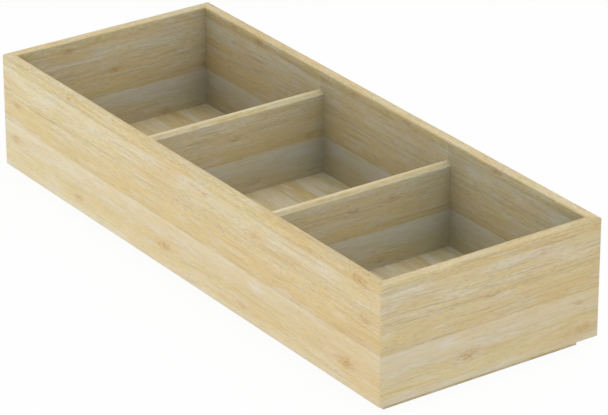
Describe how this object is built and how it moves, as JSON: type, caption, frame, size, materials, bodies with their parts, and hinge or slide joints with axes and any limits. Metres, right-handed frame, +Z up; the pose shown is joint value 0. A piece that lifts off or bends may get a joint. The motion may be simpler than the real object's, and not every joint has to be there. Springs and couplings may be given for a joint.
{
  "type": "drawer organizer",
  "caption": "Long open bamboo box with mitred walls, fixed low dividers that part it into equal compartments, and a set-in base board that nests in a like box's rim.",
  "frame": {"origin": "middle of the base board's underside, on the surface that the organizer stands on", "axes": "+Z up, X across the organizer, Y along it; the front end wall is at -Y"},
  "size_m": [0.1344, 0.35, 0.0709],
  "materials": {
    "wall_bamboo": "clear satin lacquer on pale laminated bamboo, grain lengthwise",
    "divider_bamboo": "clear satin lacquer on pale laminated bamboo, grain across the box",
    "floor_bamboo": "clear satin lacquer on laminated bamboo strips of mixed tone, grain lengthwise",
    "base_bamboo": "clear satin lacquer on laminated bamboo, grain lengthwise"
  },
  "bodies": {
    "root": {"left_wall": "wall_bamboo", "right_wall": "wall_bamboo", "front_wall": "wall_bamboo", "back_wall": "wall_bamboo", "front_divider": "divider_bamboo", "rear_divider": "divider_bamboo", "floor_panel": "floor_bamboo", "nesting_base": "base_bamboo"}
  },
  "joints": []
}
